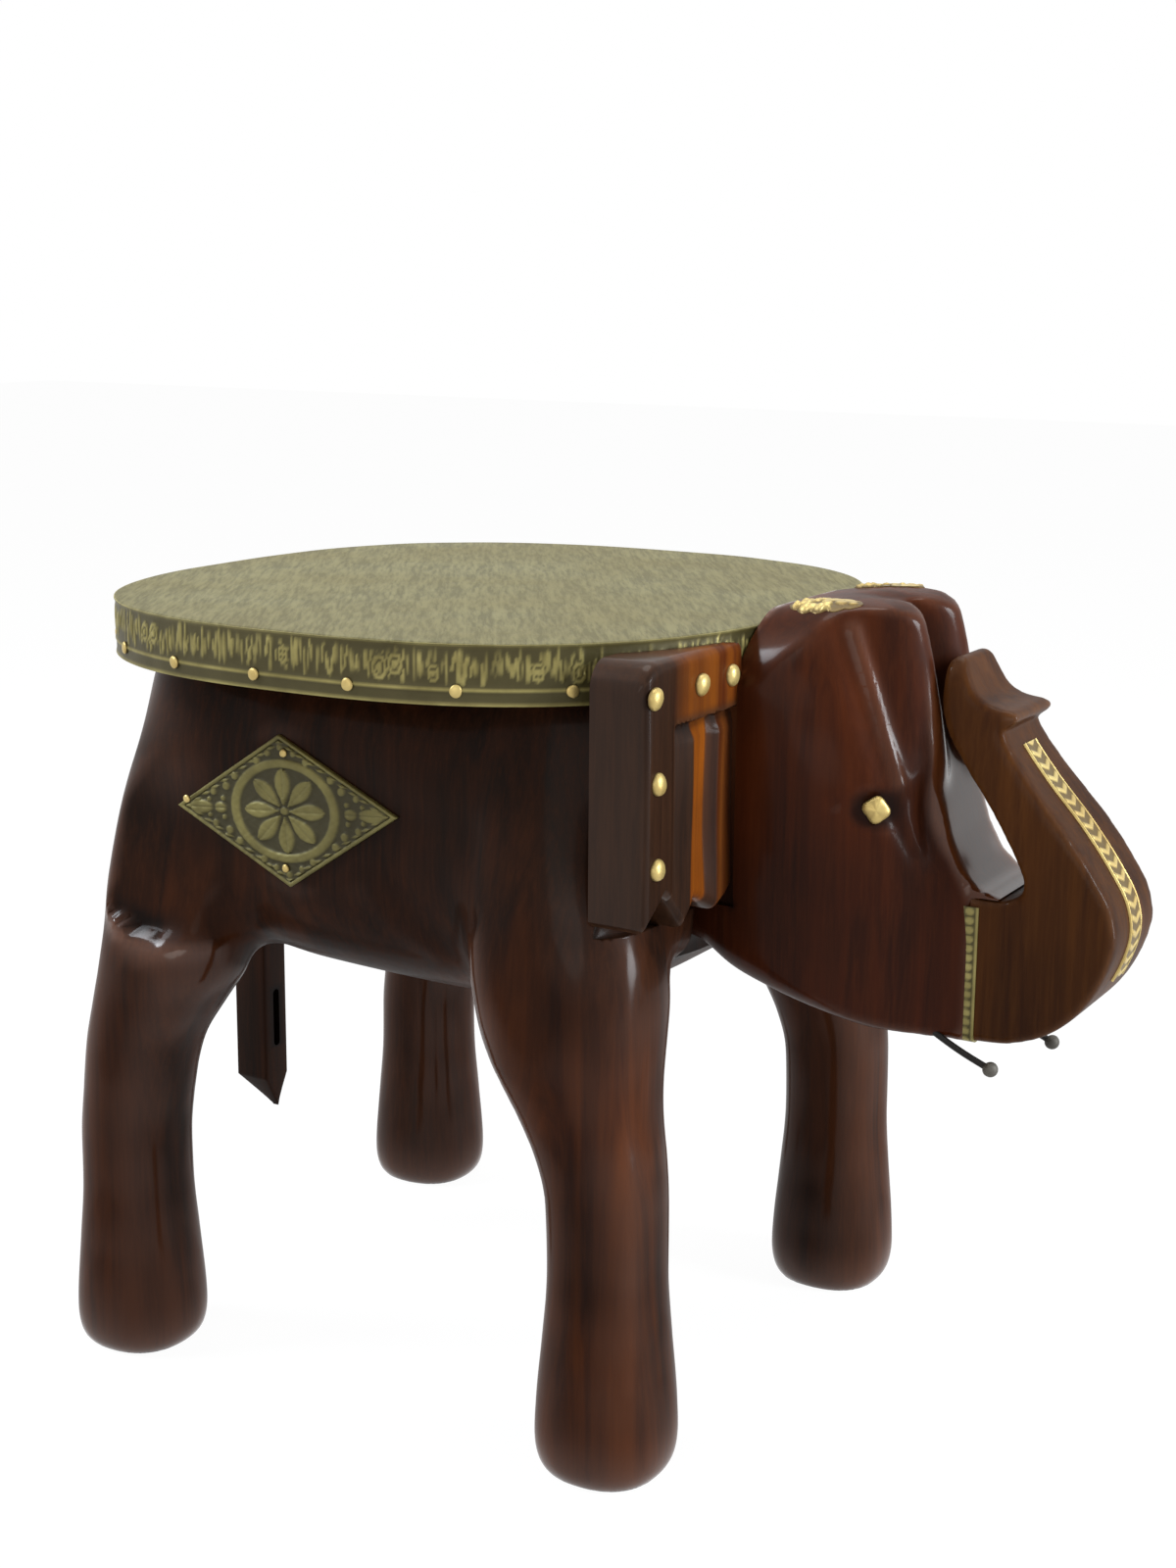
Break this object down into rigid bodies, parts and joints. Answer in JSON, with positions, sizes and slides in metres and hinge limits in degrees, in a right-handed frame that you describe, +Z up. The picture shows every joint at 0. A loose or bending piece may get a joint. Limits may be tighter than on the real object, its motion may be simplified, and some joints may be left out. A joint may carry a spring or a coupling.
{
  "type": "carved elephant stool",
  "caption": "Low stool carved as a standing elephant, with a round board seat clad in embossed brass and a raised trunk.",
  "frame": {"origin": "on the floor, below the middle of the stool's bounding box", "axes": "+X forward, the way the elephant looks; +Y towards its left side; +Z up"},
  "size_m": [0.4038, 0.2866, 0.3143],
  "materials": {
    "wood_dark": "dark lacquer, glossy",
    "wood_trunk": "worn brown lacquer, glossy",
    "wood_plain": "sawn, unfinished",
    "brass_sheet": "embossed, aged and dull",
    "brass_bright": "polished",
    "iron": "dull"
  },
  "bodies": {
    "root": {"crown_ornament_left": "brass_sheet", "crown_ornament_right": "brass_sheet", "ear_left": "wood_dark", "ear_right": "wood_dark", "ear_studs_left": "brass_bright", "ear_studs_right": "brass_bright", "ear_tenons": "wood_plain", "eye_stud_left": "brass_bright", "eye_stud_right": "brass_bright", "flank_plaque_left": "brass_sheet", "flank_plaque_right": "brass_sheet", "head": "wood_dark", "leg_front_left": "wood_dark", "leg_front_right": "wood_dark", "leg_rear_left": "wood_dark", "leg_rear_right": "wood_dark", "neck_tenons": "wood_plain", "plaque_nails_left": "brass_bright", "plaque_nails_right": "brass_bright", "seat_board": "wood_plain", "seat_edge_band": "brass_sheet", "seat_edge_pins": "brass_bright", "seat_nails": "iron", "seat_top_sheet": "brass_sheet", "tail": "wood_dark", "tail_nails": "iron", "torso": "wood_dark", "trunk": "wood_trunk", "trunk_front_strip": "brass_sheet", "trunk_joint_band": "brass_sheet", "trunk_tenon": "wood_plain", "tusk_nail_left": "iron", "tusk_nail_right": "iron"}
  },
  "joints": []
}
